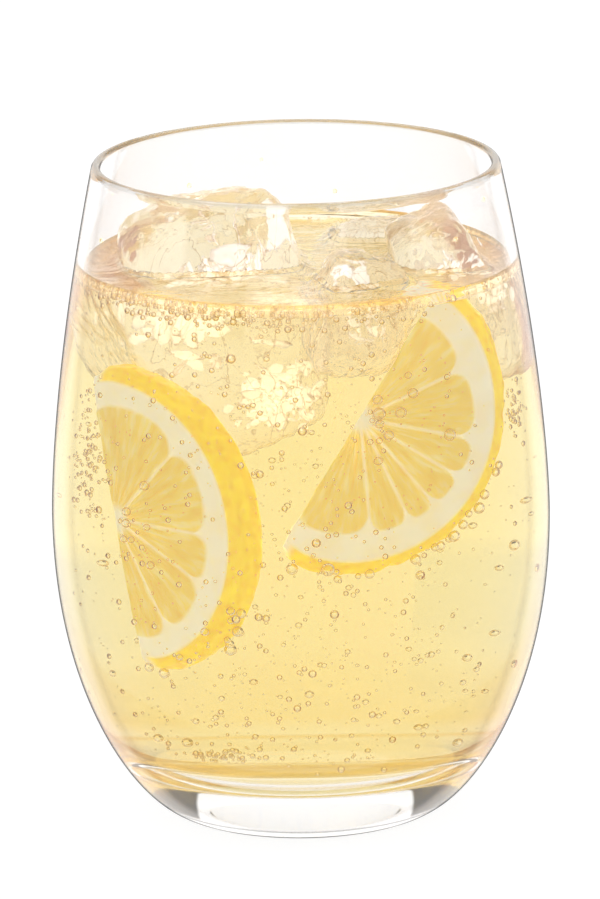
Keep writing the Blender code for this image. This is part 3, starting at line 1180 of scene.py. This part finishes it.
# %% Foam along the waterline
def foam_spots(count, seed):
    """Small bubbles packed under the meniscus, most of them at the front left."""
    draw = random.Random(seed)
    centres, radii = [], []
    while len(centres) < count:
        angle = math.radians(draw.gauss(235, 34) if draw.random() < 0.8 else draw.uniform(0, 360))
        size = 0.00018 + 0.00042 * draw.random() ** 2
        height = LEVEL + 0.0006 - size - 0.0030 * draw.random() ** 3
        reach = inner_radius(height) - 0.0004 - size - 0.0026 * draw.random() ** 2
        by_wall = reach > inner_radius(height) - 0.0012
        height = min(height, LEVEL - size - 0.0002 + (0.0006 if by_wall else 0))
        spot = Vector((reach * math.cos(angle), reach * math.sin(angle), height))
        if all((spot - other).length > 0.9 * (size + radius) for other, radius in zip(centres, radii)):
            if all(tree.find_nearest(spot)[3] > 2 * size for tree in solids):
                centres.append(spot)
                radii.append(size)
    return centres, radii


balls("foam", *foam_spots(520, 31), air)

# %% [markdown]
# ## The cracks in the ice
# Ice from a bag has a white heart, where air was caught as it froze, and thin cracks. They could be a cloudy
# volume, but a volume has no crisp edges. Each is a thin crumpled flake instead, half clear, with painted
# shade that turns it brown along its edge, and a faint painted glow in the same colours.

# %% Finish the cracks
frost, frost_shader = new_finish(
    "white cracks", Roughness=0.2, IOR=1.12, Transmission_Weight=0.55, Emission_Strength=0.32
)
# Painted shade browns the edges of the cracks, and the same colours glow faintly as painted light.
painted_crack_edge_and_glow = colour_ramp(frost, edge_on(frost), (0.55, (1.0, 0.98, 0.95)), (0.85, (0.62, 0.44, 0.26)))
link(frost, painted_crack_edge_and_glow, frost_shader.inputs["Base Color"])
link(frost, painted_crack_edge_and_glow, frost_shader.inputs["Emission Color"])
tell(frost)

# %% Crack the ice
CRACK_CLOUDS = [  # middle, spread, count, size, stretch
    ((-0.0028, -0.0030, 0.0700), (0.0046, 0.0042, 0.0048), 130, 0.0009, 1.5),
    ((-0.0120, 0.0030, 0.0850), (0.0090, 0.0065, 0.0095), 110, 0.0013, 2.4),
    ((0.0254, -0.0010, 0.0880), (0.0038, 0.0048, 0.0060), 60, 0.0008, 1.8),
    ((0.0087, -0.0134, 0.0862), (0.0028, 0.0028, 0.0050), 34, 0.0008, 2.0),
]
FLAKE_THICKNESS, FLAKE_BEND, FLAKE_CRUMPLE = 0.10, 0.35, 0.5


def flakes(name, clouds, seed):
    """One mesh of thin crumpled flakes, in clouds."""
    draw = random.Random(seed)
    shape = bmesh.new()
    for middle, spread, count, size, stretch in clouds:
        for _ in range(count):
            made = bmesh.ops.create_icosphere(shape, subdivisions=2, radius=1.0)["verts"]
            reach = size * draw.uniform(0.4, 1.2)
            spin = Euler([draw.uniform(0, math.pi) for _ in range(3)]).to_matrix()
            place = Vector([m + s * draw.gauss(0, 0.5) for m, s in zip(middle, spread)])
            shift = draw.uniform(0, 90)
            for point in made:
                x, y, z = point.co
                crumple = 1 + FLAKE_CRUMPLE * noise.noise(point.co * 1.6 + Vector((shift, 0, 0)))
                flat = Vector((x * reach * stretch, y * reach, z * reach * FLAKE_THICKNESS))
                bend = Vector((0, 0, reach * FLAKE_BEND * noise.noise(Vector((x, y, shift)))))
                point.co = spin @ (flat * crumple + bend) + place
    points = [point.co.copy() for point in shape.verts]
    faces = [[point.index for point in face.verts] for face in shape.faces]
    shape.free()
    return new_piece(name, points, faces, frost)


flakes("ice_cracks", CRACK_CLOUDS, 41)

# %% [markdown]
# ## Drops
# A few drops cling to the bare wall above the drink. Each is a ball of lemonade set partly in the
# wall, with a little more than half of it standing out.

# %% Leave some drops on the wall
DROPS = [  # bearing in degrees and height
    (79, 0.0954), (122, 0.0978), (20, 0.0985), (158, 0.1002), (100, 0.1012), (318, 0.0996), (204, 0.0982),
]
DROP_SMALLEST, DROP_LARGEST = 0.00030, 0.00048

drop_draw = random.Random(12)
drop_centres, drop_sizes = [], []
for bearing_deg, drop_height in DROPS:
    drop_size = drop_draw.uniform(DROP_SMALLEST, DROP_LARGEST)
    drop_reach = inner_radius(drop_height) - 0.2 * drop_size
    drop_angle = math.radians(bearing_deg)
    drop_centres.append((drop_reach * math.cos(drop_angle), drop_reach * math.sin(drop_angle), drop_height))
    drop_sizes.append(drop_size)
balls("drops", drop_centres, drop_sizes, pale_lemonade, 3)
